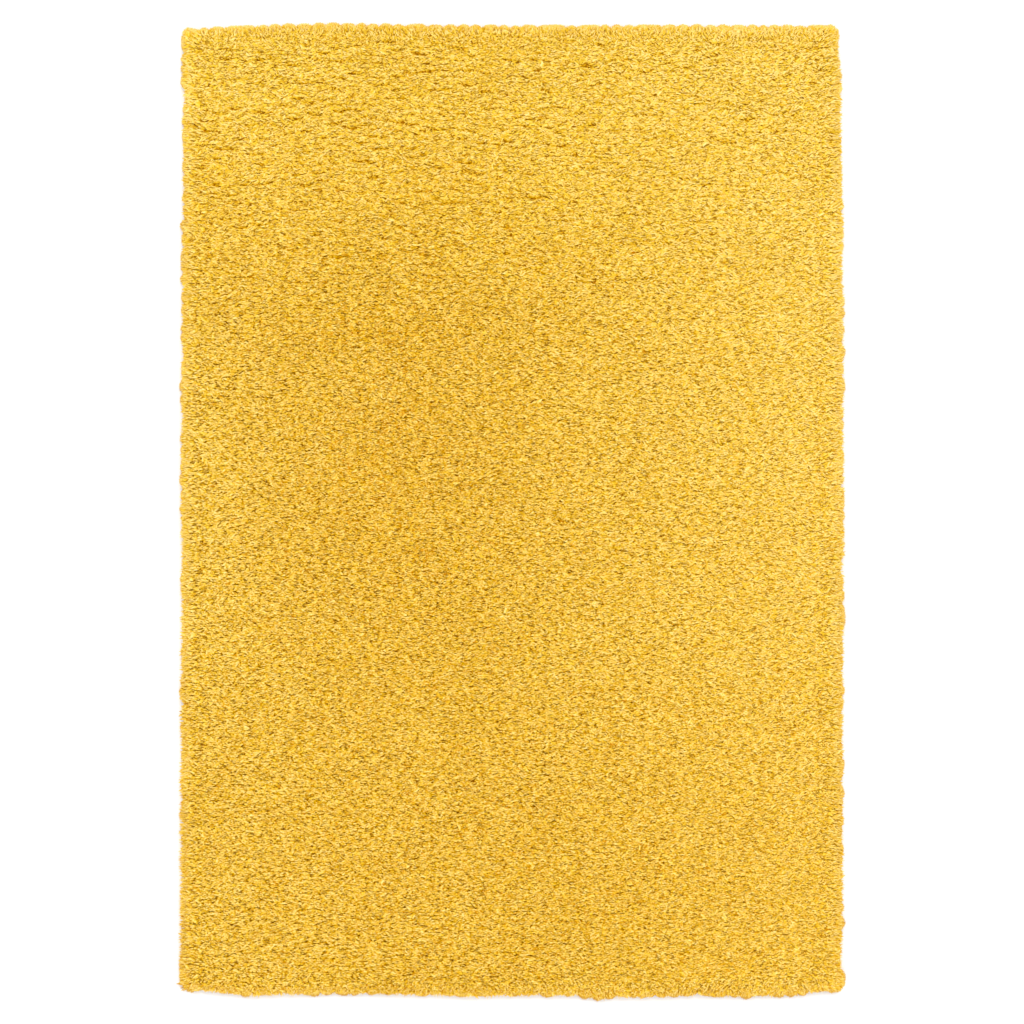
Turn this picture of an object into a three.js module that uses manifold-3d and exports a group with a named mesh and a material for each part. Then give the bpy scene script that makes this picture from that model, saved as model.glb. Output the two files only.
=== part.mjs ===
// Shag rug: a thick slab of deep yellow pile lying flat on the floor, its top softly
// lumpy, with uneven locks of pile falling outwards all round its rim.
// Units are millimetres, +Z is up, and the origin is under the middle of the rug.
import * as THREE from 'three';
import { mergeVertices } from 'three/addons/utils/BufferGeometryUtils.js';
import Module from 'manifold-3d';

// Driving dimensions
const rugWidth = 1330; // across X, to the mean of the lock tips
const rugLength = 1950; // along Y, to the mean of the lock tips
const cornerRadius = 24; // at the lock tips
const pileHeight = 30; // mean height of the top above the floor
const wallHeight = 19; // of the slab's edge, below its rounded shoulder
const shoulderWidth = 30; // over which the top falls to that edge
const lockReach = 13; // from the slab's edge to the mean of the lock tips
const cellsAcross = 32;
const cellsAlong = 46;
const shoulderRows = [0, 0.22, 1]; // grid rows on the shoulder, as shares of its width

// Soft places where the outline stands out from the plain rounded rectangle, or in where
// outX or outY points to the middle. Each dies away over its spread.
const edgeSwells = [
  { x: 665, y: 935, outX: -8, outY: 0, spread: 60 },
  { x: 665, y: 740, outX: -1.5, outY: 0, spread: 120 },
  { x: 665, y: 90, outX: 2.4, outY: 0, spread: 420 },
  { x: 665, y: -112, outX: -7, outY: 0, spread: 15 },
  { x: 665, y: -560, outX: 1.2, outY: 0, spread: 300 },
  { x: 665, y: -903, outX: -9, outY: 0, spread: 15 },
  { x: 665, y: -945, outX: 4, outY: 0, spread: 26 },
  { x: -665, y: 860, outX: -4, outY: 0, spread: 24 },
  { x: -665, y: 828, outX: 9, outY: 0, spread: 13 },
  { x: -665, y: 640, outX: 2.6, outY: 0, spread: 300 },
  { x: -665, y: 0, outX: 1.2, outY: 0, spread: 500 },
  { x: -635, y: 975, outX: 0, outY: -5, spread: 40 },
  { x: -350, y: 975, outX: 0, outY: 6, spread: 150 },
  { x: -120, y: 975, outX: 0, outY: 2, spread: 110 },
  { x: 330, y: 975, outX: 0, outY: 3, spread: 330 },
  { x: -640, y: -975, outX: 0, outY: 11, spread: 60 },
  { x: -330, y: -975, outX: 0, outY: 4, spread: 120 },
  { x: -80, y: -975, outX: 0, outY: -2, spread: 90 },
  { x: 176, y: -975, outX: 0, outY: -8, spread: 34 },
  { x: 270, y: -975, outX: 0, outY: -3, spread: 70 },
  { x: 480, y: -975, outX: 0, outY: -2, spread: 70 },
  { x: 630, y: -975, outX: 0, outY: 7, spread: 50 },
];

// Waves that add up to the lumps of the pile: their length, the way they run, in degrees
// from X, their height each way and where they begin, in turns.
const pileWaves = [
  { length: 470, heading: 78, height: 1.1, start: 0.1 },
  { length: 330, heading: 15, height: 0.9, start: 0.62 },
  { length: 236, heading: 112, height: 1.0, start: 0.35 },
  { length: 187, heading: 52, height: 0.8, start: 0.8 },
  { length: 161, heading: 143, height: 0.8, start: 0.22 },
  { length: 138, heading: 86, height: 0.9, start: 0.47 },
  { length: 121, heading: 24, height: 0.7, start: 0.91 },
  { length: 109, heading: 101, height: 0.8, start: 0.04 },
];
const combedFrom = 250; // above this Y the pile is lumpier, fully so by combedTo
const combedTo = 520;
const combedGain = 1.7; // how much higher its lumps are there

// Locks round the rim, side by side, as sizes before they are made uneven
const lockCount = 240;
const lockGap = 1; // between one lock and the next at their widest
const lockRootDepth = 9; // how far a lock is sunk into the slab
const rootHeight = 16.5; // of a lock, within the slab's wall
const lockUneven = { width: 0.26, reach: 1, lean: 3, height: 1.5 }; // width as a share
// A lock's sections from its root to its tip: the share of its length, of its width and of
// the root's height, and how far its lean has come.
const lockSections = [
  { out: 0, width: 0.8, height: 1, lean: 0 },
  { out: 0.7, width: 1, height: 0.76, lean: 0.3 },
  { out: 1, width: 0.76, height: 0.42, lean: 1 },
];
const lockCrown = 0.5; // width of a lock's top, as a share of its base

const pileColour = 0xebbc47;

const wasm = await Module();
wasm.setup();

// Uneven numbers from -1 to 1, the same in every build (a Park-Miller sequence).
function unevenNumbers(seed) {
  const modulus = 2147483647;
  const multiplier = 48271;
  let state = seed;
  return () => {
    state = (state * multiplier) % modulus;
    return (2 * state) / modulus - 1;
  };
}

// A point of the plain outline, moved by every swell near it.
function swelled(x, y) {
  const moved = new THREE.Vector2(x, y);
  for (const swell of edgeSwells) {
    const apart = Math.hypot(x - swell.x, y - swell.y) / swell.spread;
    const share = Math.exp(-apart * apart);
    moved.x += swell.outX * share;
    moved.y += swell.outY * share;
  }
  return moved;
}

// Height of the lumps above or below the mean top: the sum of the waves.
function lumpsAt(x, y) {
  const combed = THREE.MathUtils.smoothstep(y, combedFrom, combedTo);
  let height = 0;
  for (const wave of pileWaves) {
    const heading = THREE.MathUtils.degToRad(wave.heading);
    const along = x * Math.cos(heading) + y * Math.sin(heading);
    height += wave.height * Math.cos(2 * Math.PI * (along / wave.length + wave.start));
  }
  return height * (1 + (combedGain - 1) * combed);
}

// The top is level but for its lumps, and rounds down to the wall along a quarter ellipse.
function topAt(x, y, fromEdge) {
  const inwards = Math.min(fromEdge / shoulderWidth, 1);
  const rise = Math.sqrt(1 - (1 - inwards) ** 2);
  return wallHeight + (pileHeight + lumpsAt(x, y) - wallHeight) * rise;
}

// Grid lines from -half to half: even cells, but for the finer rows of the two shoulders.
function gridLines(half, cells) {
  const depths = shoulderRows.map((share) => share * shoulderWidth);
  const inner = half - shoulderWidth;
  const innerCells = cells - 2 * (depths.length - 1);
  const lines = depths.map((depth) => depth - half);
  for (let i = 1; i < innerCells; i += 1) {
    lines.push(-inner + (2 * inner * i) / innerCells);
  }
  return lines.concat(depths.reverse().map((depth) => half - depth));
}

// Pulls a grid point near a corner of the slab in to the corner's arc.
function rounded(x, y, halfWidth, halfLength, radius) {
  const acrossCorner = (Math.abs(x) - (halfWidth - radius)) / radius;
  const alongCorner = (Math.abs(y) - (halfLength - radius)) / radius;
  if (acrossCorner <= 0 || alongCorner <= 0) {
    return [x, y];
  }
  const across = acrossCorner * Math.sqrt(1 - (alongCorner * alongCorner) / 2);
  const along = alongCorner * Math.sqrt(1 - (acrossCorner * acrossCorner) / 2);
  return [
    Math.sign(x) * (halfWidth - radius + across * radius),
    Math.sign(y) * (halfLength - radius + along * radius),
  ];
}

// The slab: a lumpy grid on top, a wall round it and a flat fan underneath.
function slabGeometry() {
  const halfWidth = rugWidth / 2 - lockReach;
  const halfLength = rugLength / 2 - lockReach;
  const radius = cornerRadius - lockReach;
  const xLines = gridLines(halfWidth, cellsAcross);
  const yLines = gridLines(halfLength, cellsAlong);
  const points = [];
  for (const yLine of yLines) {
    for (const xLine of xLines) {
      const [x, y] = rounded(xLine, yLine, halfWidth, halfLength, radius);
      const fromEdge = Math.min(halfWidth - Math.abs(xLine), halfLength - Math.abs(yLine));
      const place = swelled(x, y);
      points.push(place.x, place.y, topAt(x, y, fromEdge));
    }
  }

  const faces = [];
  const columns = xLines.length;
  const rows = yLines.length;
  const at = (column, row) => row * columns + column;
  for (let row = 0; row + 1 < rows; row += 1) {
    for (let column = 0; column + 1 < columns; column += 1) {
      const [a, b] = [at(column, row), at(column + 1, row)];
      const [c, d] = [at(column + 1, row + 1), at(column, row + 1)];
      faces.push(a, b, c, a, c, d);
    }
  }

  const edge = [];
  for (let column = 0; column + 1 < columns; column += 1) {
    edge.push(at(column, 0));
  }
  for (let row = 0; row + 1 < rows; row += 1) {
    edge.push(at(columns - 1, row));
  }
  for (let column = columns - 1; column > 0; column -= 1) {
    edge.push(at(column, rows - 1));
  }
  for (let row = rows - 1; row > 0; row -= 1) {
    edge.push(at(0, row));
  }

  const footStart = points.length / 3;
  for (const index of edge) {
    points.push(points[3 * index], points[3 * index + 1], 0);
  }
  const underMiddle = points.length / 3;
  points.push(0, 0, 0);
  edge.forEach((index, i) => {
    const next = (i + 1) % edge.length;
    const [foot, nextFoot] = [footStart + i, footStart + next];
    faces.push(foot, nextFoot, edge[next], foot, edge[next], index);
    faces.push(nextFoot, foot, underMiddle);
  });
  return meshFrom(points, faces);
}

// The plain outline at the lock tips, a rounded rectangle run counter-clockwise.
function tipOutline() {
  const right = rugWidth / 2;
  const back = rugLength / 2;
  const quarter = Math.PI / 2;
  const outline = new THREE.Path();
  outline.moveTo(right, 0);
  outline.lineTo(right, back - cornerRadius);
  outline.absarc(right - cornerRadius, back - cornerRadius, cornerRadius, 0, quarter);
  outline.lineTo(-right + cornerRadius, back);
  outline.absarc(-right + cornerRadius, back - cornerRadius, cornerRadius, quarter, 2 * quarter);
  outline.lineTo(-right, -back + cornerRadius);
  outline.absarc(-right + cornerRadius, -back + cornerRadius, cornerRadius, 2 * quarter, 3 * quarter);
  outline.lineTo(right - cornerRadius, -back);
  outline.absarc(right - cornerRadius, -back + cornerRadius, cornerRadius, 3 * quarter, 4 * quarter);
  outline.lineTo(right, 0);
  return outline;
}

// One lock: four-sided sections with level undersides, from a root in the slab to the tip.
function lockGeometry(tip, outward, sizes) {
  const sideways = new THREE.Vector2(-outward.y, outward.x);
  const full = lockReach + lockRootDepth + sizes.reach;
  const root = tip.clone().addScaledVector(outward, -lockReach - lockRootDepth);
  const points = [];
  for (const section of lockSections) {
    const middle = root.clone().addScaledVector(outward, full * section.out);
    middle.addScaledVector(sideways, sizes.lean * section.lean);
    const base = (sizes.width * section.width) / 2;
    const height = sizes.height * section.height;
    const corners = [[-base, 0], [base, 0], [base * lockCrown, height], [-base * lockCrown, height]];
    for (const [side, z] of corners) {
      const corner = middle.clone().addScaledVector(sideways, side);
      points.push(corner.x, corner.y, z);
    }
  }

  const sides = 4;
  const last = (lockSections.length - 1) * sides;
  const faces = [0, 2, 1, 0, 3, 2, last, last + 1, last + 2, last, last + 2, last + 3];
  for (let start = 0; start < last; start += sides) {
    for (let i = 0; i < sides; i += 1) {
      const next = (i + 1) % sides;
      const [a, b] = [start + i, start + next];
      faces.push(a, b, b + sides, a, b + sides, a + sides);
    }
  }
  return meshFrom(points, faces);
}

function meshFrom(points, faces) {
  const geometry = new THREE.BufferGeometry();
  geometry.setAttribute('position', new THREE.Float32BufferAttribute(points, 3));
  geometry.setIndex(faces);
  return mergeVertices(geometry);
}

function solidFrom(geometry) {
  return new wasm.Manifold(new wasm.Mesh({
    numProp: 3,
    vertProperties: new Float32Array(geometry.attributes.position.array),
    triVerts: new Uint32Array(geometry.index.array),
  }));
}

// The locks stand side by side round the tip outline, each as uneven as its neighbours.
function lockSolids() {
  const outline = tipOutline();
  const rim = outline.getLength();
  const uneven = unevenNumbers(7);
  const widths = Array.from({ length: lockCount }, () => 1 + lockUneven.width * uneven());
  const whole = widths.reduce((sum, width) => sum + width, 0);
  let passed = 0;
  return widths.map((width) => {
    const share = (passed + width / 2) / whole;
    passed += width;
    const at = outline.getPoint(share);
    const tangent = outline.getTangent(share);
    const outward = new THREE.Vector2(tangent.y, -tangent.x);
    return solidFrom(lockGeometry(swelled(at.x, at.y), outward, {
      width: (rim * width) / whole - lockGap,
      reach: lockUneven.reach * uneven(),
      lean: lockUneven.lean * uneven(),
      height: rootHeight + lockUneven.height * uneven(),
    }));
  });
}

function rugGeometry() {
  let rug = solidFrom(slabGeometry());
  for (const lock of lockSolids()) {
    rug = rug.add(lock);
  }
  const mesh = rug.getMesh();
  const geometry = new THREE.BufferGeometry();
  geometry.setAttribute('position', new THREE.BufferAttribute(mesh.vertProperties, 3));
  geometry.setIndex(new THREE.BufferAttribute(mesh.triVerts, 1));
  return geometry;
}

const pile = new THREE.MeshStandardMaterial({ color: pileColour, roughness: 0.95, metalness: 0 });
const rug = new THREE.Mesh(rugGeometry(), pile);
rug.name = 'rug';

// The outermost locks set the middle, which goes over the origin.
rug.geometry.computeBoundingBox();
const middle = rug.geometry.boundingBox.getCenter(new THREE.Vector3());
rug.position.set(-middle.x, -middle.y, 0);

const object = new THREE.Group();
object.add(rug);

export default object;
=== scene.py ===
import math

import bpy
import numpy as np
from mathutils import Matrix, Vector
from mathutils.bvhtree import BVHTree


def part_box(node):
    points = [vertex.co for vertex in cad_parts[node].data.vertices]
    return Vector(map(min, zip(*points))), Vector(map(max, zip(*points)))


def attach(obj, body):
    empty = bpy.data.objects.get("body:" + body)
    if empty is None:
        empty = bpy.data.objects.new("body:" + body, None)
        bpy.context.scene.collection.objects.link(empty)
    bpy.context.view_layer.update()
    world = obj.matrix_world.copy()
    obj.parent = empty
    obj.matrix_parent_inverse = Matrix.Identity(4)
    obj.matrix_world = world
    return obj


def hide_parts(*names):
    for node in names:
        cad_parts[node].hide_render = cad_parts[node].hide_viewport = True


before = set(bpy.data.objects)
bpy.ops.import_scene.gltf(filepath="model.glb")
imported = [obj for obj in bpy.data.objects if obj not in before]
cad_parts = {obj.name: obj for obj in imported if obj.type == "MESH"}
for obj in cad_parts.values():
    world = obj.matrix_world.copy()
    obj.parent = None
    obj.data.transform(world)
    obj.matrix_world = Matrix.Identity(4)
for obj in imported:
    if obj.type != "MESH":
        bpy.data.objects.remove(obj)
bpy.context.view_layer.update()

cadLow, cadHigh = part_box("rug")
mm = 0.001
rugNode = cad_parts["rug"]

# Camera, floor and light

view = {
    "imageSide": 1024,            # pixels across and down
    "rugMiddle": (512.2, 511.3),  # where the rug's middle is in the image, in pixels
    "metresPerPixel": 2.007 * mm,
    "lens": 100.0,
    "sensor": 36.0,
    "focusHeight": 12 * mm,       # height above the floor at which that scale holds
    "clip": (0.1, 50.0),          # the nearest and furthest that it sees, in metres
}


def makeCamera():
    # Looks straight down. Its height is the lens times the width seen over the sensor.
    seen = view["imageSide"] * view["metresPerPixel"]
    data = bpy.data.cameras.new("camera")
    data.lens = view["lens"]
    data.sensor_width = view["sensor"]
    data.clip_start, data.clip_end = view["clip"]
    camera = bpy.data.objects.new("camera", data)
    bpy.context.scene.collection.objects.link(camera)
    half = view["imageSide"] / 2
    x = (half - view["rugMiddle"][0]) * view["metresPerPixel"]
    y = -(half - view["rugMiddle"][1]) * view["metresPerPixel"]
    height = view["focusHeight"] + seen * view["lens"] / view["sensor"]
    camera.location = (x, y, height)
    bpy.context.scene.camera = camera


studio = {
    "floorSide": 14.0,
    "floorColour": (0.93, 0.93, 0.93),
    "floorRoughness": 0.9,
    "skyColour": (1.0, 1.0, 1.0),
    "skyStrength": 1.2,
    # The key light: the way it shines from, in degrees round from +X and above the floor,
    # how wide it looks from the rug, in degrees, and its strength.
    "key": {"round": 80, "above": 60, "wide": 24, "strength": 0.9},
    "keyAway": 5.0,               # where the light's own mark stands; a sun has no distance
}


def makeFloor():
    # A pale level square round the rug.
    side = studio["floorSide"] / 2
    mesh = bpy.data.meshes.new("floor")
    mesh.from_pydata([(-side, -side, 0), (side, -side, 0), (side, side, 0), (-side, side, 0)],
                     [], [(0, 1, 2, 3)])
    floor = bpy.data.objects.new("floor", mesh)
    bpy.context.scene.collection.objects.link(floor)
    pale = bpy.data.materials.new("pale floor")
    pale.use_nodes = True
    shader = pale.node_tree.nodes["Principled BSDF"]
    shader.inputs["Base Color"].default_value = (*studio["floorColour"], 1)
    shader.inputs["Roughness"].default_value = studio["floorRoughness"]
    mesh.materials.append(pale)


def makeLight():
    # An even sky and one soft key light, turned to shine from its angles towards the rug.
    world = bpy.data.worlds.new("studio sky")
    world.use_nodes = True
    sky = world.node_tree.nodes["Background"]
    sky.inputs["Color"].default_value = (*studio["skyColour"], 1)
    sky.inputs["Strength"].default_value = studio["skyStrength"]
    bpy.context.scene.world = world
    bpy.context.scene.view_settings.view_transform = "Standard"

    key = studio["key"]
    data = bpy.data.lights.new("key", "SUN")
    data.angle = math.radians(key["wide"])
    data.energy = key["strength"]
    turn, rise = math.radians(key["round"]), math.radians(key["above"])
    way = Vector((math.cos(turn) * math.cos(rise), math.sin(turn) * math.cos(rise), math.sin(rise)))
    light = bpy.data.objects.new("key", data)
    light.location = way * studio["keyAway"]
    light.rotation_mode = "QUATERNION"
    light.rotation_quaternion = way.to_track_quat("Z", "Y")
    bpy.context.scene.collection.objects.link(light)


makeCamera()
makeFloor()
makeLight()
print("camera, floor and light")

# Uneven fields over the rug


def softNoise(x, y, size, seed):
    # Smooth uneven values from -1 to 1: random numbers on a square lattice of this size,
    # blended by an S-curve between its points.
    side = 256                    # cells of the lattice each way, after which it repeats
    lattice = np.random.default_rng(seed).uniform(-1, 1, (side + 1, side + 1))
    a, b = x / size + side / 2, y / size + side / 2
    i, j = np.floor(a).astype(int), np.floor(b).astype(int)
    fa, fb = a - i, b - j
    fa, fb = fa * fa * (3 - 2 * fa), fb * fb * (3 - 2 * fb)
    i, j = i % side, j % side
    low = lattice[j, i] * (1 - fa) + lattice[j, i + 1] * fa
    high = lattice[j + 1, i] * (1 - fa) + lattice[j + 1, i + 1] * fa
    return low * (1 - fb) + high * fb


# Soft patches of nap, in metres from the rug's middle: how far each spreads across and
# along, how much paler or darker its pile looks, which is painted nap shading for the way
# light falls on pile laid differently, and how much more it stands up.
napPatches = [
    {"x": -0.56, "y": 0.90, "across": 0.22, "along": 0.18, "tone": 0.16, "upright": 0.4},
    {"x": 0.62, "y": 0.60, "across": 0.26, "along": 0.60, "tone": 0.10, "upright": 0.0},
    {"x": 0.30, "y": 0.86, "across": 0.30, "along": 0.16, "tone": 0.08, "upright": 0.0},
    {"x": -0.22, "y": 0.10, "across": 0.30, "along": 0.50, "tone": -0.14, "upright": 0.0},
    {"x": -0.32, "y": 0.36, "across": 0.40, "along": 0.05, "tone": -0.04, "upright": 0.1},
    {"x": -0.64, "y": 0.05, "across": 0.10, "along": 0.40, "tone": 0.10, "upright": 0.0},
    {"x": 0.15, "y": -0.80, "across": 0.75, "along": 0.45, "tone": -0.11, "upright": 0.0},
    {"x": 0.0, "y": 0.85, "across": 0.90, "along": 0.34, "tone": 0.135, "upright": 0.9},
]


def patchSum(x, y, column):
    # Adds up one column of the patches, each dying away as a bell over its spread.
    total = np.zeros_like(x)
    for patch in napPatches:
        a, b = (x - patch["x"]) / patch["across"], (y - patch["y"]) / patch["along"]
        total += patch[column] * np.exp(-(a * a + b * b))
    return total


# The rug's own form, read from its solid

form = {
    "clear": 60 * mm,             # of the rug, where a probe starts
    "wallHeight": 18.5 * mm,      # just under the top of the slab's wall, above its locks
    "lockHeight": 1 * mm,         # at which the locks' outline is read
    "wallProbes": 60,             # for the slab's mean size, from each side,
    "wallShare": 0.9,             # over this share of it
    "cell": 10 * mm,              # spacing of the heights read over the top
    "cellInset": 0.0008,          # share of a side that keeps the outermost off its very edge
    "rimStep": 2.0 * mm,          # spacing of the places read round the rim
    "cornerRadius": 11 * mm,      # of the slab
    "notchWide": 4 * mm,          # half as wide as the widest gap between two locks
    "notchShare": 0.5,            # of the reach beside it, under which a place is in a gap
    "lobeWide": 11 * mm,          # how far from a gap the round end of a lock begins,
    "lobeDeep": 7.0 * mm,         # and how far back it has curved at the gap
    "uneven": 9.0 * mm,           # how much further some locks reach than others,
    "unevenSize": 36 * mm,        # over about this length of the rim,
    "unevenMean": 0.40,           # the share of it that is taken off them all,
    "evenFrom": 0.9,              # and how far along the rug it begins to fade to its back side
}

solid = BVHTree.FromPolygons([v.co[:] for v in rugNode.data.vertices],
                             [p.vertices[:] for p in rugNode.data.polygons])


def slabHalf(axis):
    # Half the slab's mean size along an axis, from probes across it from both sides.
    other = 1 - axis
    total = []
    ends = cadLow[other] * form["wallShare"], cadHigh[other] * form["wallShare"]
    for place in np.linspace(*ends, form["wallProbes"]):
        for sign, corner in ((1, cadLow), (-1, cadHigh)):
            start, way = [0, 0, form["wallHeight"]], [0, 0, 0]
            start[other], start[axis], way[axis] = place, corner[axis] - sign * form["clear"], sign
            total.append(-sign * solid.ray_cast(Vector(start), Vector(way))[0][axis])
    return float(np.mean(total))


halfWidth, halfLength = slabHalf(0), slabHalf(1)


def unevenLocks(x, y):
    # How much further the locks reach at a place: the size of a soft noise, less a share, so
    # that they end in rounds between sharp gaps. It fades at the back side.
    fades = np.clip((y / halfLength - form["evenFrom"]) / (1 - form["evenFrom"]), 0, 1)
    rounds = np.abs(softNoise(x, y, form["unevenSize"], seed=31)) - form["unevenMean"]
    return form["uneven"] * rounds * (1 - fades)


def readRim():
    # Places round the slab's wall, the way out from each, and how far the locks reach. They
    # are met by probes square to a rounded oblong, starting from the middle of its right side.
    # Gaps between locks are closed, but for the square of how near they are.
    radius, clear = form["cornerRadius"], form["clear"]
    cornerX, cornerY = halfWidth - radius, halfLength - radius
    arc = radius * math.pi / 2
    lengths = np.array([cornerY, arc, 2 * cornerX, arc, 2 * cornerY, arc, 2 * cornerX, arc, cornerY])
    starts = np.concatenate([[0], np.cumsum(lengths)])
    whole = starts[-1]
    count = round(whole / form["rimStep"])
    s = np.arange(count) * whole / count
    stretch = np.searchsorted(starts, s, side="right") - 1
    into = (s - starts[stretch]) / lengths[stretch]
    turn = np.where(stretch % 2 == 1, stretch // 2 + into, np.ceil(stretch / 2)) * math.pi / 2
    out = np.stack([np.cos(turn), np.sin(turn)], 1)
    signs = np.array([[1, 0], [1, 1], [1, 1], [-1, 1], [-1, 1], [-1, -1], [-1, -1], [1, -1],
                      [1, -1], [1, 0]])
    centres = signs * (cornerX, cornerY)
    place = centres[stretch] + (centres[stretch + 1] - centres[stretch]) * into[:, None]
    place += out * radius
    wall, reach = np.empty(count), np.empty(count)
    for k, (spot, way) in enumerate(zip(place, out)):
        start = spot + way * clear
        for found, z in ((wall, form["wallHeight"]), (reach, form["lockHeight"])):
            met = solid.ray_cast(Vector((*start, z)), Vector((*-way, 0)))[3]
            found[k] = clear - met if met is not None else 0.0
    reach = np.maximum(reach - wall, 0)
    place += out * wall[:, None]

    steps = round(form["notchWide"] / form["rimStep"])
    full = np.max([np.roll(reach, k) for k in range(-steps, steps + 1)], 0)
    gaps = s[reach < form["notchShare"] * full]
    apart = np.abs((s[:, None] - gaps[None] + whole / 2) % whole - whole / 2)
    notch = np.clip(1 - apart.min(1) / form["lobeWide"], 0, 1)
    reach = full - form["lobeDeep"] * notch ** 2 + unevenLocks(*place.T)
    middles = (starts[[1, 3, 5, 7]] + starts[[2, 4, 6, 8]]) / 2
    return {"s": s, "length": whole, "place": place, "out": out,
            "reach": np.maximum(reach, 0), "notch": notch, "corners": middles}


rim = readRim()


def roundRim(s, column):
    # A column of the rim's readings at any distance round it, each a straight blend of two.
    values = rim[column] if rim[column].ndim == 2 else rim[column][:, None]
    found = [np.interp(s, rim["s"], one, period=rim["length"]) for one in values.T]
    return np.stack(found, -1) if rim[column].ndim == 2 else found[0]


def sides(share):
    # How far round the rim the left, right, front and back sides are at a share along them.
    backRight, backLeft, frontLeft, frontRight = rim["corners"]
    return {
        "left": frontLeft + (backLeft - frontLeft) * share,
        "right": frontRight - rim["length"] + (backRight - frontRight + rim["length"]) * share,
        "front": frontLeft + (frontRight - frontLeft) * share,
        "back": backLeft + (backRight - backLeft) * share,
    }


def onSlab(u, v):
    # A place on the slab from its shares across and along, each from 0 to 1: the blends
    # between facing sides added up, less the blend between the corners, which both count.
    alongSides, acrossSides = sides(v), sides(u)
    left, right = roundRim(alongSides["left"], "place"), roundRim(alongSides["right"], "place")
    front, back = roundRim(acrossSides["front"], "place"), roundRim(acrossSides["back"], "place")
    backRight, backLeft, frontLeft, frontRight = roundRim(rim["corners"], "place")
    u, v = u[..., None], v[..., None]
    blend = (1 - u) * left + u * right + (1 - v) * front + v * back
    both = (1 - v) * ((1 - u) * frontLeft + u * frontRight)
    both = both + v * ((1 - u) * backLeft + u * backRight)
    spot = blend - both
    return spot[..., 0], spot[..., 1]


def gridBlend(grid, across, along):
    # Values between the points of a grid: the four round a place, blended by nearness.
    i = np.clip(across.astype(int), 0, grid.shape[1] - 2)
    j = np.clip(along.astype(int), 0, grid.shape[0] - 2)
    fu, fv = across - i, along - j
    low = grid[j, i] * (1 - fu) + grid[j, i + 1] * fu
    high = grid[j + 1, i] * (1 - fu) + grid[j + 1, i + 1] * fu
    return low * (1 - fv) + high * fv


def readTop():
    # The height of the solid's top over an even grid of shares, probed from a metre above.
    us = np.linspace(0, 1, round(2 * halfWidth / form["cell"]) + 1)
    vs = np.linspace(0, 1, round(2 * halfLength / form["cell"]) + 1)
    inset = form["cellInset"]
    gridU, gridV = np.meshgrid(us * (1 - 2 * inset) + inset, vs * (1 - 2 * inset) + inset)
    x, y = onSlab(gridU, gridV)
    met = [solid.ray_cast(Vector((*spot, 1)), Vector((0, 0, -1)))[0]
           for spot in zip(x.ravel(), y.ravel())]
    top = np.array([spot[2] if spot else 0 for spot in met]).reshape(x.shape)
    return np.maximum(top, form["wallHeight"])


topHeights = readTop()


def topAt(u, v):
    # Height of the pile's top, from the readings round a place.
    rows, columns = topHeights.shape
    return gridBlend(topHeights, u * (columns - 1), v * (rows - 1))


def fromSides(u, v):
    # How far a place is from the left, right, front and back sides.
    width, length = 2 * halfWidth, 2 * halfLength
    return u * width, (1 - u) * width, v * length, (1 - v) * length


def reachAt(u, v):
    # How far the locks reach beyond the nearest side.
    near = np.argmin(fromSides(u, v), axis=0)
    s = np.select([near == 0, near == 1, near == 2],
                  [sides(v)["left"], sides(v)["right"], sides(u)["front"]], sides(u)["back"])
    return roundRim(s, "reach")


def outwards(u, v, width):
    # The way out to the rim within a strip along it, growing from nothing to one: the sum of
    # what each near side adds, never over one long. And how far the nearest side is.
    apart = fromSides(u, v)
    pull = [np.clip(1 - d / width, 0, 1) for d in apart]
    away = np.stack([pull[1] - pull[0], pull[3] - pull[2]], -1)
    size = np.linalg.norm(away, axis=-1, keepdims=True)
    return away / np.maximum(size, 1), np.minimum.reduce(apart)


print("form read: half sizes", round(halfWidth, 4), round(halfLength, 4), "rim places",
      len(rim["s"]), "mean reach", round(float(rim["reach"].mean()), 4))

# Materials


class Value:
    # One socket, so that shader sums read as plain Python sums.
    def __init__(self, tree, socket):
        self.tree, self.socket = tree, socket

    def maths(self, operation, *others, swap=False):
        node = self.tree.nodes.new("ShaderNodeMath")
        node.operation = operation
        values = [self, *others][::-1] if swap else [self, *others]
        for slot, value in zip(node.inputs, values):
            if isinstance(value, Value):
                self.tree.links.new(value.socket, slot)
            else:
                slot.default_value = value
        return Value(self.tree, node.outputs[0])

    def __add__(self, other):
        return self.maths("ADD", other)

    def __radd__(self, other):
        return self.maths("ADD", other)

    def __sub__(self, other):
        return self.maths("SUBTRACT", other)

    def __rsub__(self, other):
        return self.maths("SUBTRACT", other, swap=True)

    def __mul__(self, other):
        return self.maths("MULTIPLY", other)

    def __rmul__(self, other):
        return self.maths("MULTIPLY", other)

    def __truediv__(self, other):
        return self.maths("DIVIDE", other)

    def __rtruediv__(self, other):
        return self.maths("DIVIDE", other, swap=True)

    def __abs__(self):
        return self.maths("ABSOLUTE")

    def sine(self):
        return self.maths("SINE")

    def lesser(self, other):
        return self.maths("MINIMUM", other)

    def clamped(self):
        return self.maths("MINIMUM", 1.0).maths("MAXIMUM", 0.0)

    def part(self, number):
        # Another output of the same node.
        return Value(self.tree, self.socket.node.outputs[number])


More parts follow.
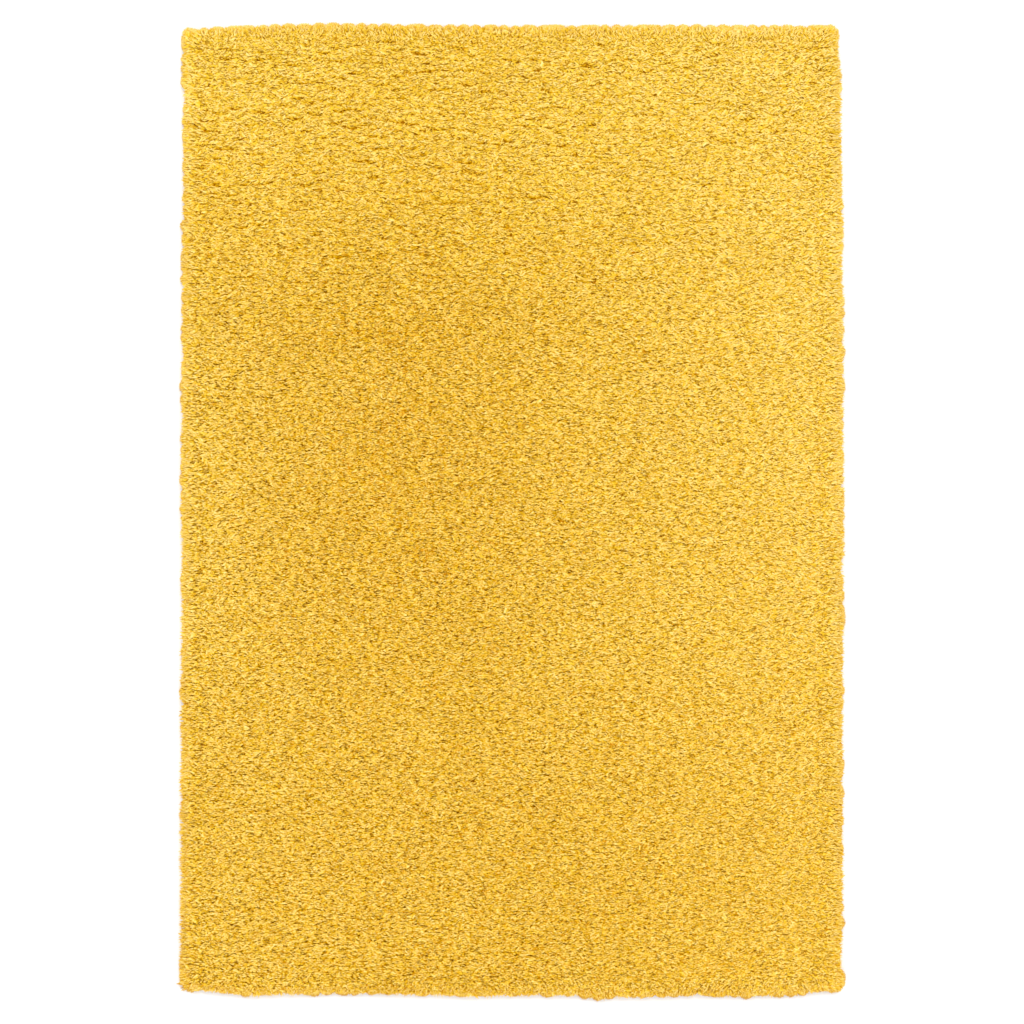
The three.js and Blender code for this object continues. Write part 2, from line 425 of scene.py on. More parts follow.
class Finish:
    # A material whose nodes are added one call at a time.
    def __init__(self, name):
        self.material = bpy.data.materials.new(name)
        self.material.use_nodes = True
        self.tree = self.material.node_tree
        self.shader = self.tree.nodes["Principled BSDF"]

    def node(self, kind, settings=None, sockets=None, out=0):
        # A node of any kind: its settings first, then its sockets by name or number.
        node = self.tree.nodes.new(kind)
        for key, value in (settings or {}).items():
            if key == "stops":
                self.setStops(node.color_ramp, value)
            else:
                setattr(node, key, value)
        self.fill(node, sockets or {})
        return Value(self.tree, node.outputs[out])

    def fill(self, node, sockets):
        # Each socket takes a link or a plain value.
        for key, value in sockets.items():
            if isinstance(value, Value):
                self.tree.links.new(value.socket, node.inputs[key])
            else:
                node.inputs[key].default_value = value

    def setStops(self, ramp, stops):
        while len(ramp.elements) < len(stops):
            ramp.elements.new(0.5)
        for element, (at, colour) in zip(ramp.elements, stops):
            element.position = at
            element.color = (*colour, 1)

    def noise(self, place, scale, detail, out=0):
        # Soft noise of this many waves in a metre, as a number, or as a colour from output 1.
        return self.node("ShaderNodeTexNoise",
                         sockets={"Vector": place, "Scale": scale, "Detail": detail}, out=out)

    def bent(self, place, scale, far):
        # A place pulled across and along by up to about this far, as soft noise.
        pull = self.noise(place, scale, 0.0, out=1)
        return self.node("ShaderNodeVectorMath", {"operation": "MULTIPLY_ADD"},
                         {0: pull, 1: (far, far, 0.0), 2: place})

    def sized(self, place, cells):
        # A place in cells, from how many of them there are in a metre each way.
        return self.node("ShaderNodeMapping", sockets={"Vector": place, "Scale": cells})

    def parts(self, vector):
        # The first part of a vector, from which part(1) and part(2) give the others.
        return self.node("ShaderNodeSeparateXYZ", sockets={0: vector})

    def bump(self, height, strength, deep):
        return self.node("ShaderNodeBump",
                         sockets={"Strength": strength, "Distance": deep, "Height": height})

    def feed(self, **sockets):
        # Fills the shader's own sockets, whose names are written with lines for spaces.
        self.fill(self.shader, {key.replace("_", " "): value for key, value in sockets.items()})


def dyed(red, green, blue):
    # A screen colour from 0 to 255 as the light that it gives.
    return tuple(((c / 255 + 0.055) / 1.055) ** 2.4 for c in (red, green, blue))


tufts = {
    # Tufts lie over each other like scales, as uneven cells. For lying and for upright pile,
    # the cells in a metre across, along and up, and how dark the painted shade in the gaps
    # between them and the painted shadow under their lower lips look.
    "lying": {"cells": (76.0, 290.0, 50.0), "dark": 1.38},
    "upright": {"cells": (38.0, 84.0, 50.0), "dark": 0.80},
    "bendScale": 30.0,            # waves in a metre by which the cells are pulled out of line,
    "bend": 0.008,                # and how far, in metres
    "softScale": 0.8,             # waves in a cell of the soft noise over them
    "gapFrom": 0.60,              # a gap opens where that noise is under this,
    "gapSteep": 5.3,              # and darkens with how far under it is,
    "gapThin": 7.3,               # less this much of how far off the cell's edge is
    "lipFrom": 0.18,              # how far under a cell's middle its lip begins, in cells,
    "lipUneven": 0.6,             # how much the soft noise moves that,
    "lipOver": 0.36,              # and how much further it is darkest
    "lipLeast": 0.25,             # the faintest lip's share of the darkest
    "lipOrange": 0.45,            # how far a lip's painted shadow goes towards the deepest shade of strand,
    "lipDepth": 0.65,             # and how far down it looks beside a gap
    "rimWidth": 0.050,            # from the wall, within which gaps and lips show less,
    "rimShare": 0.3,              # down to this share of them
    "calmFrom": -0.1,             # where across the rug they begin to fade to its right side,
    "calmOver": 0.7,              # over how much further,
    "calmShare": 0.85,            # how much of the gaps has gone there,
    "calmLips": 0.5,              # and how much of that share of the lips
    "standsFrom": 0.28,           # where along the rug the pile begins to stand up,
    "standsOver": 0.45,           # and over how much further it does
}


def betweenTufts(finish, place):
    # Painted shade between tufts: how far down in a gap between tufts a place looks, and how far
    # down the painted shadow under a tuft's lip, each from 0 to over 1. A gap is how far the noise
    # is under its start, less how far off the cell's edge is. A lip is a ramp of how far the place
    # is under its cell's middle, times the cell's own random share. Gaps fade where the pile stands
    # up and lips where it lies, and both fade towards the rim and the right side.
    lying, upright = tufts["lying"], tufts["upright"]
    bent = finish.bent(place, tufts["bendScale"], tufts["bend"])
    sized = finish.sized(bent, lying["cells"])
    edge = finish.node("ShaderNodeTexVoronoi",
                       {"feature": "DISTANCE_TO_EDGE", "voronoi_dimensions": "2D"},
                       {"Vector": sized, "Scale": 1.0})
    soft = finish.noise(sized, tufts["softScale"], 1.0)
    gap = (tufts["gapFrom"] - soft) * tufts["gapSteep"] - edge * tufts["gapThin"]
    gap = gap.clamped() * lying["dark"]

    sized = finish.sized(bent, upright["cells"])
    cell = finish.node("ShaderNodeTexVoronoi", {"feature": "F1", "voronoi_dimensions": "2D"},
                       {"Vector": sized, "Scale": 1.0})
    off = finish.node("ShaderNodeVectorMath", {"operation": "SUBTRACT"},
                      {0: cell.part(2), 1: sized})
    under = finish.parts(off).part(1)
    share = finish.parts(cell.part(1))
    lip = (under - tufts["lipFrom"] - (soft - 0.5) * tufts["lipUneven"]) / tufts["lipOver"]
    lip = lip.clamped() * (share * (1 - tufts["lipLeast"]) + tufts["lipLeast"]) * upright["dark"]

    across = finish.parts(place)
    along = across.part(1)
    stands = ((along - tufts["standsFrom"]) / tufts["standsOver"]).clamped()
    fromSide = (halfWidth - abs(across)).lesser(halfLength - abs(along))
    seen = (fromSide / tufts["rimWidth"]).clamped()
    seen = seen * (1 - tufts["rimShare"]) + tufts["rimShare"]
    calm = ((across - tufts["calmFrom"]) / tufts["calmOver"]).clamped() * tufts["calmShare"]
    gap = gap * (1 - stands) * (1 - calm) * seen
    lip = lip * stands * (1 - calm * tufts["calmLips"]) * seen
    return gap, lip


yarn = {
    # From the deepest shade of strand to the palest.
    "shades": [(0.0, dyed(211, 147, 28)), (0.25, dyed(229, 187, 74)), (0.5, dyed(238, 205, 110)),
               (0.75, dyed(245, 217, 127)), (1.0, dyed(250, 226, 141))],
    # Painted shade down the pile: what is left of the red, green and blue from the bottom of the
    # pile, where it is darkest, to its top.
    "depths": [(0.0, (0.64, 0.45, 0.0)), (0.4, (0.93, 0.80, 0.18)), (0.8, (1.0, 1.0, 1.0))],
    "fibres": (280.0, 560.0, 300.0),  # the waves of fine fibre in a metre each way,
    "fibreShade": 2.2,            # and how much they change a strand's shade
    "sinks": 2.0,                 # how far down the painted shade of a gap takes the deepest shade of strand,
    "sinksLess": 1.7,             # and how much less far the palest
    "fuzz": 900.0,                # the waves of its bump in a metre,
    "fuzzStrength": 0.35,
    "fuzzDeep": 0.0006,           # and their depth, in metres
    "roughness": 0.9,
    "shine": 0.01,
}


def makeYarn():
    # The strand's own shade comes across its map, and up its map how high in the pile it is.
    # Fine fibres change the shade and the painted shadow of lips lowers it. Painted shade in gaps
    # and lips lowers the height, less on a pale strand. The colour is the ramp of shades times the
    # ramp of painted shade, darker lower in the pile.
    finish = Finish("yellow yarn")
    shade = finish.parts(finish.node("ShaderNodeUVMap", {"uv_map": "OFBake"}))
    height = shade.part(1)
    place = finish.node("ShaderNodeTexCoord", out=3)
    fibre = finish.noise(finish.sized(place, yarn["fibres"]), 1.0, 1.0)
    gap, lip = betweenTufts(finish, place)
    spun = shade + (fibre - 0.5) * yarn["fibreShade"] - lip * tufts["lipOrange"]
    sunk = (gap + lip * tufts["lipDepth"]) * (yarn["sinks"] - shade * yarn["sinksLess"])
    colour = finish.node("ShaderNodeValToRGB", {"stops": yarn["shades"]}, {0: spun})
    deep = finish.node("ShaderNodeValToRGB", {"stops": yarn["depths"]}, {0: height - sunk})
    mixed = finish.node("ShaderNodeMix", {"data_type": "RGBA", "blend_type": "MULTIPLY"},
                        {0: 1.0, 6: colour, 7: deep}, out=2)
    bump = finish.bump(finish.noise(place, yarn["fuzz"], 2.0), yarn["fuzzStrength"],
                       yarn["fuzzDeep"])
    finish.feed(Base_Color=mixed, Roughness=yarn["roughness"], Normal=bump,
                Specular_IOR_Level=yarn["shine"])
    return finish.material


yarnMaterial = makeYarn()

# Meshes

creaseAngle = math.radians(60)    # faces that meet more sharply than this aren't shaded as one


def makeMesh(name, points, faces, material, uv=None, extra=None):
    # A mesh from whole arrays of points, of three- or four-sided faces, and of extra
    # triangles where there are some.
    mesh = bpy.data.meshes.new(name)
    sizes = np.full(len(faces), faces.shape[1])
    corners = faces.ravel()
    if extra is not None:
        sizes = np.concatenate([sizes, np.full(len(extra), 3)])
        corners = np.concatenate([corners, extra.ravel()])
    mesh.vertices.add(len(points))
    mesh.vertices.foreach_set("co", points.astype(np.float32).ravel())
    mesh.loops.add(len(corners))
    mesh.loops.foreach_set("vertex_index", corners.astype(np.int32))
    mesh.polygons.add(len(sizes))
    mesh.polygons.foreach_set("loop_start", (np.cumsum(sizes) - sizes).astype(np.int32))
    mesh.update(calc_edges=True)
    mesh.shade_smooth()
    mesh.set_sharp_from_angle(angle=creaseAngle)
    if uv is not None:
        mesh.uv_layers.new(name="OFBake").uv.foreach_set("vector", uv.astype(np.float32).ravel())
    mesh.validate()
    mesh.materials.append(material)
    piece = bpy.data.objects.new(name, mesh)
    bpy.context.scene.collection.objects.link(piece)
    return piece


strand = {
    # Its corners are its root, the right and left of its middle, and its tip.
    "faces": [(0, 1, 2), (1, 3, 2), (0, 2, 3), (0, 3, 1)],
    "stations": (0.0, 0.55, 1.0),  # the root, the middle and the tip, as shares of the length
    "mapWidth": 0.006,            # how far over the map its middle reaches to each side
    "mapEdge": 0.02,              # of the map, which is kept free
}


def growStrands(name, line, thick, shade, depth):
    # Strands carried along lines of three places, the root, the middle and the tip. Each has a
    # level width across its middle and a keel straight from its root to its tip, so it closes
    # with four faces and shows its full width from above. Depth is how high in the pile each
    # of the three places is, from 0 to 1.
    way = line[:, 2] - line[:, 0]
    flat = np.stack([-way[:, 1], way[:, 0], np.zeros(len(way))], 1)
    flat *= (thick / 2 / (np.linalg.norm(flat, axis=1) + 1e-12))[:, None]
    points = np.stack([line[:, 0], line[:, 1] - flat, line[:, 1] + flat, line[:, 2]], 1)
    faces = (np.arange(len(line)) * 4)[:, None, None] + np.array(strand["faces"])[None]
    across = np.array([0, -1, 1, 0]) * strand["mapWidth"]
    low, high = strand["mapEdge"], 1 - strand["mapEdge"]
    u = np.clip(shade, low, high)[:, None] + across[None]
    # The map's height carries the depth, which the yarn paints as shade, darker lower in the pile.
    up = np.clip(depth, low, high)[:, [0, 1, 1, 2]]
    uv = np.stack([u, up], 2)[:, np.ravel(strand["faces"])]
    return makeMesh(name, points.reshape(-1, 3), faces.reshape(-1, 3), yarnMaterial,
                    uv.reshape(-1, 2))


# The pile

bedSink = 3.5 * mm                # the bed's depth under the pile's top
combing = {
    "clumpAcross": 24 * mm,
    "clumpAlong": 11 * mm,
    "clumpJitter": 0.42,          # how far its middle strays, in clumps
    "clumpField": (2.0, 3.0),     # the oblong that clumps cover, wider than the rug, in metres
    "lean": 12 * mm,              # how far a strand's tip stands from its root, seen from above,
    "leanUneven": 0.4,            # and how much more or less it may be
    "uprightLean": 0.2,           # how much less upright pile leans
    "clumpTurn": 0.22,            # how unevenly clumps lean round from across the rug, in radians
    "strandTurn": 0.24,           # and the strands in them
    "together": 0.10,             # how much of the way to its clump's middle a tip is drawn
    "bow": 0.2,                   # sideways, as a share of its lean
    "droop": 0.2,                 # at most, as a share of its rise
    "jitter": 0.3,                # how far a strand's root strays, in strands,
    "rootInset": 0.001,           # and the share of a side at its edge that they keep off
    "thickUneven": 0.18,
    "riseUneven": 0.4 * mm,
    "lump": 0.15 * mm,            # how much higher or lower a clump is
    "dome": 0.2 * mm,             # how much lower a clump is at its edge,
    "uprightDome": 4,             # and how many times that is added where it stands up
    "deep": 3.5 * mm,             # height over the bed at which a strand is as pale as its tip; under it painted shade darkens it
    "rimWidth": 46 * mm,          # within which strands lean outwards
    "rimLean": 12 * mm,
    "rimTurn": 1.3,               # share of those leaning inwards that is turned at the wall, where
                                  # over one turns them all some way before it
    "rimLess": 0.65,              # how much of a strand's own lean has gone at the wall
    "rimShare": 0.5,              # of the locks' reach that strands along the wall lean over
    "rimBare": 1 * mm,            # strip along the wall that the rim's own strands cover
}

# The pile's shades: the yarn's own uneven tone, with painted light paler near the rim.
dyeAndPaintedLight = {
    "shade": 0.58,                # of the pile, from 0 for the deepest to 1 for the palest,
    "uneven": 0.09,               # and how it varies from strand to strand
    "clumpUneven": 0.01,          # and from clump to clump,
    "broad": 0.02,                # and more broadly,
    "broadSize": 90 * mm,         # over about this far
    # Painted light: the pile is paler near the rim.
    "rimPaintedLight": 0.05,
    "oddShare": 0.02,             # of the strands, which are a deeper shade,
    "oddDeeper": 0.35,            # by this much
    "patchDepth": 0.25,           # how much of a patch's painted nap shade also changes how high it looks, and so its painted depth shade
}

layers = {
    # Full strands, whose tips make the top, and short ones that lie between them, whose deeper
    # shade is painted shade for lying lower.
    "pile": {"across": 7.0 * mm, "along": 3.1 * mm, "rootSink": 1.5 * mm, "rise": 5.0 * mm,
             "lean": 1.0, "thick": 2.5 * mm, "pieces": 3, "seed": 11, "shade": 0.0},
    "under_pile": {"across": 7.2 * mm, "along": 5.2 * mm, "rootSink": 1.0 * mm, "rise": 3.4 * mm,
                   "lean": 0.95, "thick": 4.0 * mm, "pieces": 2, "seed": 12, "shade": -0.04},
}


def spread(rng, share, count):
    # Even draws round one, by up to this share more or less.
    return rng.uniform(1 - share, 1 + share, count)


def makeClumps():
    # Clumps of strands: jittered middles on a lattice, and for each its heading, its lump
    # and its shade.
    rng = np.random.default_rng(7)
    columns = int(combing["clumpField"][0] / combing["clumpAcross"])
    rows = int(combing["clumpField"][1] / combing["clumpAlong"])
    shape = (rows, columns)
    stray = combing["clumpJitter"]
    i = np.arange(columns)[None] - columns // 2 + 0.5 + rng.uniform(-stray, stray, shape)
    j = np.arange(rows)[:, None] - rows // 2 + 0.5 + rng.uniform(-stray, stray, shape)
    return {
        "columns": columns,
        "rows": rows,
        "x": i * combing["clumpAcross"],
        "y": j * combing["clumpAlong"],
        "heading": rng.normal(0, combing["clumpTurn"], shape),
        "lump": rng.uniform(-1, 1, shape),
        "shade": rng.normal(0, dyeAndPaintedLight["clumpUneven"], shape),
    }


clumps = makeClumps()


def nearestClump(x, y):
    # The row and column of the nearest clump's middle, of the nine round a place, and how far
    # off it is: 0 at the middle and 1 about where the next clump begins.
    a, b = combing["clumpAcross"], combing["clumpAlong"]
    i = np.floor(x / a).astype(int) + clumps["columns"] // 2
    j = np.floor(y / b).astype(int) + clumps["rows"] // 2
    best = np.full(x.shape, np.inf)
    bestI, bestJ = i.copy(), j.copy()
    for di in (-1, 0, 1):
        for dj in (-1, 0, 1):
            ci, cj = i + di, j + dj
            apart = ((x - clumps["x"][cj, ci]) / a) ** 2 + ((y - clumps["y"][cj, ci]) / b) ** 2
            nearer = apart < best
            best = np.where(nearer, apart, best)
            bestI, bestJ = np.where(nearer, ci, bestI), np.where(nearer, cj, bestJ)
    return (bestJ, bestI), np.clip(4 * best, 0, 1)


def growLayer(name, layer):
    # Strands in jittered rows, every other row moved by half a strand. Each climbs as a sine's
    # quarter, leans out by its share to the power 1.6, bows sideways as half a sine, and droops
    # by its share to the power 3. Half of them lean left and half right, but near the rim those
    # that would lean inwards are turned round.
    rng = np.random.default_rng(layer["seed"])
    rows = round(2 * halfLength / layer["along"])
    columns = round(2 * halfWidth / layer["across"])
    stray = combing["jitter"]
    j, i = np.meshgrid(np.arange(rows), np.arange(columns), indexing="ij")
    u = (i + 0.25 + 0.5 * (j % 2) + rng.uniform(-stray, stray, i.shape)) / columns
    v = (j + 0.5 + rng.uniform(-stray, stray, i.shape)) / rows
    inset = combing["rootInset"]
    u, v = np.clip(u.ravel(), inset, 1 - inset), np.clip(v.ravel(), inset, 1 - inset)
    away, fromRim = outwards(u, v, combing["rimWidth"])
    kept = fromRim > combing["rimBare"]
    u, v, away, fromRim = u[kept], v[kept], away[kept], fromRim[kept]
    x, y = onSlab(u, v)
    count = len(x)
    clump, off = nearestClump(x, y)
    spot = np.stack([x, y], 1)
    middle = np.stack([clumps["x"][clump], clumps["y"][clump]], 1)
    upright = np.clip(patchSum(x, y, "upright"), 0, 1)
    nearRim = np.linalg.norm(away, axis=1)

    heading = clumps["heading"][clump] + rng.normal(0, combing["strandTurn"], count)
    heading += math.pi * (rng.random(count) < 0.5)
    inwards = np.cos(heading) * away[:, 0] + np.sin(heading) * away[:, 1] < 0
    heading += math.pi * (inwards & (rng.random(count) < combing["rimTurn"] * nearRim))
    size = combing["lean"] * layer["lean"] * (1 - combing["uprightLean"] * upright)
    size = size * spread(rng, combing["leanUneven"], count)
    lean = size[:, None] * np.stack([np.cos(heading), np.sin(heading)], 1)
    lean += combing["together"] * (1 + upright)[:, None] * (middle - spot)
    over = np.minimum(combing["rimLean"], fromRim + combing["rimShare"] * reachAt(u, v))
    lean = lean * (1 - combing["rimLess"] * nearRim)[:, None] + away * over[:, None]
    dome = combing["dome"] * (1 + combing["uprightDome"] * upright) * off
    rise = layer["rise"] + combing["lump"] * clumps["lump"][clump] - dome
    rise = rise + rng.normal(0, combing["riseUneven"], count)
    bow = np.stack([-lean[:, 1], lean[:, 0]], 1) * rng.normal(0, combing["bow"], count)[:, None]
    droop = rise * rng.uniform(0.0, combing["droop"], count)

    t = np.array(strand["stations"])
    line = np.empty((count, len(t), 3))
    line[:, :, :2] = spot[:, None] + (t ** 1.6)[None, :, None] * lean[:, None]
    line[:, :, :2] += np.sin(t * math.pi)[None, :, None] * bow[:, None]
    line[:, :, 2] = (topAt(u, v) - bedSink - layer["rootSink"])[:, None]
    line[:, :, 2] += np.sin(t * math.pi / 2)[None] * rise[:, None] - (t ** 3)[None] * droop[:, None]

    thick = layer["thick"] * spread(rng, combing["thickUneven"], count)
    # The strand's shade: painted nap shade from the patches, painted light near the rim, and the
    # yarn's own uneven tone.
    tone = patchSum(x, y, "tone")
    shade = dyeAndPaintedLight["shade"] + layer["shade"] + clumps["shade"][clump] + tone
    shade += dyeAndPaintedLight["rimPaintedLight"] * np.clip(2 * nearRim, 0, 1)
    shade += rng.normal(0, dyeAndPaintedLight["uneven"], count)
    shade += dyeAndPaintedLight["broad"] * softNoise(x, y, dyeAndPaintedLight["broadSize"], seed=5)
    shade -= dyeAndPaintedLight["oddDeeper"] * (rng.random(count) < dyeAndPaintedLight["oddShare"])
    band = np.minimum((v * layer["pieces"]).astype(int), layer["pieces"] - 1)
    # How high in the pile each place is, for the painted shade lower down; a patch's painted nap
    # shade moves it too.
    depth = (line[:, :, 2] - (topAt(u, v) - bedSink)[:, None]) / combing["deep"]
    depth += dyeAndPaintedLight["patchDepth"] * tone[:, None]
    return [growStrands(f"{name}_{k + 1}", line[band == k], thick[band == k], shade[band == k],
                        depth[band == k]) for k in range(layer["pieces"])]


pieces = []
for layerName, layer in layers.items():
    grown = growLayer(layerName, layer)
    pieces += grown
    print("grown:", layerName, [len(piece.data.polygons) for piece in grown])

# Strands round the rim

fringe = {
    "thick": 3.2 * mm,
    "thickUneven": 0.15,
    "jitter": 0.35,               # how far a strand strays along the rim, in its steps
    "clear": 0.3 * mm,            # kept under the lowest strands
    "sway": 2.5 * mm,             # of the tips along the rim,
    "bow": 1.0 * mm,              # and of the middles
    "arch": 2.2 * mm,
    "rootUneven": 0.8 * mm,
    "tipUneven": 0.6 * mm,
    "beyond": 1.5 * mm,           # of the locks' outline, which a strand's thin tip reaches,
    "shortest": 0.92,             # and the share of that which the shortest reaches
    "shade": 0.30,                # of the lowest tier, deeper than the pile's as painted shade down the rim's side,
    "tierPaler": 0.015,           # how much paler each tier over it is, as that painted shade lessens upwards,
    "shadeUneven": 0.12,
    "notchPaintedShade": 0.30,           # and how much deeper they are between two locks, as painted shade in the notch
    "rootDepth": 0.35,            # how high in the pile the roots look, for the painted shade deep in the pile; the tips look one higher
    # From the floor up: how far in from the wall the roots are, their height, the share of
    # the locks' reach at which the tips end and the tips' height, in millimetres.
    "tiers": [
        {"inward": 2.0, "root": 4.0, "share": 1.0, "tip": 1.6},
        {"inward": 2.0, "root": 6.0, "share": 1.0, "tip": 3.0},
        {"inward": 2.0, "root": 8.5, "share": 1.0, "tip": 5.0},
        {"inward": 2.0, "root": 11.0, "share": 0.96, "tip": 7.5},
        {"inward": 2.0, "root": 13.0, "share": 0.90, "tip": 10.0},
        {"inward": 3.0, "root": 14.5, "share": 0.80, "tip": 12.5},
        {"inward": 5.0, "root": 15.5, "share": 0.66, "tip": 15.0},
        {"inward": 8.0, "root": 16.5, "share": 0.48, "tip": 17.5},
        {"inward": 12.0, "root": 18.5, "share": 0.20, "tip": 20.0},
    ],
}


def growRim():
    # Strands in tiers up the wall, one over each place of the rim. Each runs straight out from
    # its root, sways along the rim by its share to the power 1.5, and bows as half a sine. Its
    # height goes from root to tip by the square of its share, arched as half a sine. It
    # reaches as far as the locks do where it starts or where it ends, whichever is less.
    rng = np.random.default_rng(23)
    tiers = {key: np.array([row[key] for row in fringe["tiers"]]) for key in fringe["tiers"][0]}
    tier, place = np.meshgrid(np.arange(len(fringe["tiers"])), np.arange(len(rim["s"])))
    tier, place = tier.ravel(), place.ravel()
    count = len(tier)
    stray = fringe["jitter"]
    steps = tier % 2 * 0.5 + rng.uniform(-stray, stray, count)
    s = rim["s"][place] + steps * form["rimStep"]
    sway, bow = rng.normal(0, fringe["sway"], count), rng.normal(0, fringe["bow"], count)
    spot, out = roundRim(s, "place"), roundRim(s, "out")
    reach = np.minimum(roundRim(s, "reach"), roundRim(s + sway, "reach"))
    out = out / np.linalg.norm(out, axis=1, keepdims=True)
    side = np.stack([-out[:, 1], out[:, 0]], 1)
    start = -tiers["inward"][tier] * mm
    end = tiers["share"][tier] * (reach + fringe["beyond"])
    end = end * rng.uniform(fringe["shortest"], 1.0, count)
    low = tiers["root"][tier] * mm + rng.normal(0, fringe["rootUneven"], count)
    high = tiers["tip"][tier] * mm + rng.normal(0, fringe["tipUneven"], count)
    thick = fringe["thick"] * spread(rng, fringe["thickUneven"], count)

    t = np.array(strand["stations"])
    profile = start[:, None] + (end - start)[:, None] * t[None]
    slide = sway[:, None] * (t ** 1.5)[None] + bow[:, None] * np.sin(t * math.pi)[None]
    line = np.empty((count, len(t), 3))
    line[:, :, :2] = spot[:, None] + out[:, None] * profile[..., None]
    line[:, :, :2] += side[:, None] * slide[..., None]
    line[:, :, 2] = low[:, None] + (high - low)[:, None] * (t ** 2)[None]
    line[:, :, 2] += fringe["arch"] * np.sin(t * math.pi)[None]
    line[:, :, 2] = np.maximum(line[:, :, 2], fringe["clear"])
    # Painted shade: deeper than the pile, paler tier by tier upwards and deeper in the notches, with
    # a patch's painted nap shade added; the spread is the yarn's own uneven tone.
    shade = fringe["shade"] + fringe["tierPaler"] * tier + patchSum(*spot.T, "tone")
    shade += rng.normal(0, fringe["shadeUneven"], count)
    shade -= fringe["notchPaintedShade"] * roundRim(s + sway, "notch")
    depth = np.broadcast_to(fringe["rootDepth"] + t[None], (count, len(t)))
    return growStrands("rim", line, thick, shade, depth)


pieces.append(growRim())
print("rim grown:", len(pieces[-1].data.polygons))

# The bed of the pile

bed = {
    "cells": (115.0, 250.0, 115.0),  # tufts in a metre across, along and up
    "bendScale": 70.0,            # waves in a metre by which they are pulled out of line,
    "bend": 0.012,                # and how far, in metres
    "grainScale": 2.0,            # waves of grain in a tuft
    "edgeSteep": 5.0,             # how fast a tuft rises from its edge
    "edgeShare": 0.75,            # of the height that the tuft's edge gives, and the grain
    "grainShare": 0.25,           # the rest
    # From the painted shade at the cells' edges and in the gaps to the tufts' pale tops.
    "tones": [(0.1, dyed(160, 100, 4)), (0.4, dyed(232, 180, 44)), (0.9, dyed(244, 206, 92))],
    "roughness": 0.95,
    "bumpStrength": 0.9,
    "bumpDeep": 0.003,            # in metres
    "across": 12 * mm,            # spacing of its points
    "foot": 2.4 * mm,             # height of its underside, over the ground cloth
    "tuftDepth": 1.6 * mm,        # how high its tufts are,
    "tuftSize": 13 * mm,
    "wallFade": 10 * mm,          # and how far from the wall they begin
    # Rings down the rim: the share of the locks' reach, and the height.
    "rings": [{"share": 0.25, "height": 10 * mm}, {"share": 0.62, "height": 5 * mm},
              {"share": 0.72, "height": 2.4 * mm}],
}


def closedPad(name, spacing, foot, inset, topOf, rings, material):
    # A pad: a grid over the slab for its top, rings round its edge that step outwards and
    # down, and a flat underside that fans out from its middle.
    columns = round(2 * halfWidth / spacing)
    rows = round(2 * halfLength / spacing)
    u, v = np.meshgrid(np.linspace(0, 1, columns + 1), np.linspace(0, 1, rows + 1))
    x, y = onSlab(u, v)
    x, y = x * (1 - inset / halfWidth), y * (1 - inset / halfLength)
    upper = np.stack([x, y, topOf(u, v, x, y)], 2).reshape(-1, 3)
    index = np.arange(len(upper)).reshape(u.shape)
    quads = np.stack([index[:-1, :-1], index[:-1, 1:], index[1:, 1:], index[1:, :-1]], 2)
    ring = np.concatenate([index[0, :-1], index[:-1, -1], index[-1, :0:-1], index[:0:-1, 0]])
    us, vs = u.ravel()[ring], v.ravel()[ring]
    s = np.select([vs == 0, us == 1, vs == 1],
                  [sides(us)["front"], sides(vs)["right"], sides(us)["back"]], sides(vs)["left"])
    out, reach, edge = roundRim(s, "out"), roundRim(s, "reach"), upper[ring, :2]
    points, faces = [upper], [quads.reshape(-1, 4)]
    before = ring
    for step in rings:
        spots = edge + out * (reach * step["share"])[:, None]
        points.append(np.column_stack([spots, np.full(len(ring), step["height"])]))
        now = sum(map(len, points[:-1])) + np.arange(len(ring))
        faces.append(np.stack([now, np.roll(now, -1), np.roll(before, -1), before], 1))
        before = now
    points.append(np.array([[0.0, 0.0, foot]]))
    middle = sum(map(len, points[:-1]))
    triangles = np.stack([np.roll(before, -1), before, np.full(len(ring), middle)], 1)
    return makeMesh(name, np.concatenate(points), np.concatenate(faces), material, extra=triangles)


def makeBedFinish():
    # Tufts lying across the rug, seen between the strands: cells that rise from their edges,
    # and grain, less the gaps and lips, which give both the tone and the bump. The tone darkens
    # at the cells' edges and in the gaps and lips as painted shade; the grain is the yarn's own.
    finish = Finish("deep pile")
    place = finish.node("ShaderNodeTexCoord", out=3)
    sized = finish.sized(finish.bent(place, bed["bendScale"], bed["bend"]), bed["cells"])
    edge = finish.node("ShaderNodeTexVoronoi", {"feature": "DISTANCE_TO_EDGE"},
                       {"Vector": sized, "Scale": 1.0})
    grain = finish.noise(sized, bed["grainScale"], 2.0)
    gap, lip = betweenTufts(finish, place)
    height = (edge * bed["edgeSteep"]).clamped() * bed["edgeShare"] + grain * bed["grainShare"]
    height = height - gap - lip
    colour = finish.node("ShaderNodeValToRGB", {"stops": bed["tones"]}, {0: height})
    bump = finish.bump(height, bed["bumpStrength"], bed["bumpDeep"])
    finish.feed(Base_Color=colour, Roughness=bed["roughness"], Normal=bump,
                Specular_IOR_Level=yarn["shine"])
    return finish.material


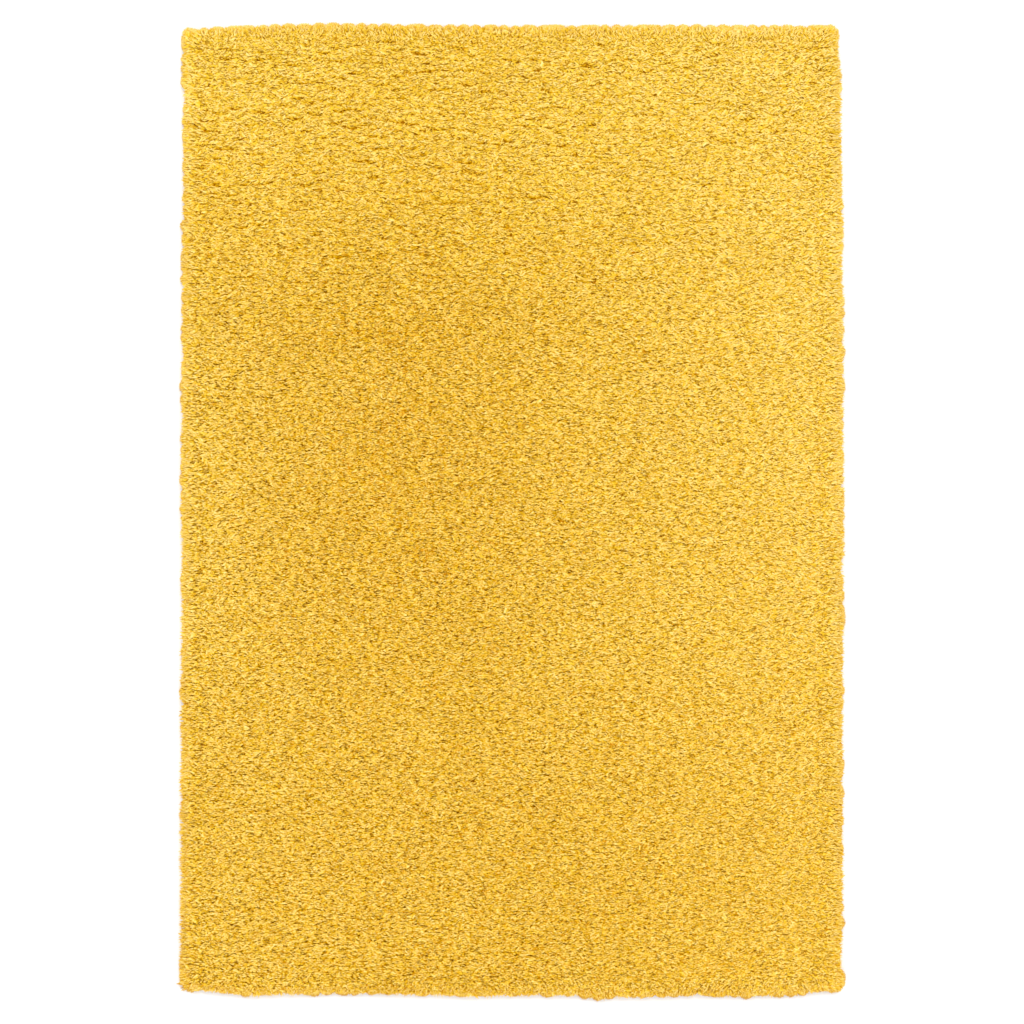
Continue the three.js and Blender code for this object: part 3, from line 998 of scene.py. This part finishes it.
def bedTop(u, v, x, y):
    # Tufts as soft noise under the pile's top, dying away towards the wall.
    lumps = softNoise(x, y, bed["tuftSize"], seed=41) * bed["tuftDepth"]
    fromRim = outwards(u, v, combing["rimWidth"])[1]
    return topAt(u, v) - bedSink + lumps * np.clip(fromRim / bed["wallFade"], 0, 1)


bedPiece = closedPad("pile_bed", bed["across"], bed["foot"], 0.0, bedTop, bed["rings"],
                     makeBedFinish())
pieces.append(bedPiece)
print("bed made:", len(bedPiece.data.polygons))

# The ground cloth underneath

ground = {
    "cell": 24 * mm,
    "thick": 1.9 * mm,
    "inset": 3 * mm,              # from the slab's wall
    "flat": (1.298, 1.922),
    "weave": 0.004,               # two yarns and the gaps between them, in metres
    "speck": 320.0,               # the waves of its fibre in a metre
    "weaveShare": 0.6,            # of its tone that the weave gives, and its fibre
    "speckShare": 0.4,            # the rest
    "tones": [(0.2, dyed(168, 138, 92)), (0.8, dyed(212, 188, 142))],
    "roughness": 0.9,
    "shine": 0.2,
    "bumpStrength": 0.6,
    "bumpDeep": 0.0008,           # in metres
}


def makeGroundFinish():
    # A plain weave of jute-coloured yarns, two sets of waves crossing.
    finish = Finish("woven ground cloth")
    place = finish.node("ShaderNodeTexCoord", out=3)
    across = finish.parts(place)
    turns = 2 * math.pi / ground["weave"]
    weave = (across * turns).sine() * (across.part(1) * turns).sine() * 0.5 + 0.5
    speck = finish.noise(place, ground["speck"], 3.0)
    tone = weave * ground["weaveShare"] + speck * ground["speckShare"]
    colour = finish.node("ShaderNodeValToRGB", {"stops": ground["tones"]}, {0: tone})
    bump = finish.bump(weave, ground["bumpStrength"], ground["bumpDeep"])
    finish.feed(Base_Color=colour, Roughness=ground["roughness"], Normal=bump,
                Specular_IOR_Level=ground["shine"])
    return finish.material


def groundTop(u, v, x, y):
    # Level, at the cloth's thickness.
    return np.full_like(x, ground["thick"])


groundPiece = closedPad("ground_cloth", ground["cell"], 0.0, ground["inset"], groundTop,
                        [{"share": 0.0, "height": 0.0}], makeGroundFinish())
print("ground cloth made")

for piece in [*pieces, groundPiece]:
    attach(piece, "root")
    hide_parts("rug")
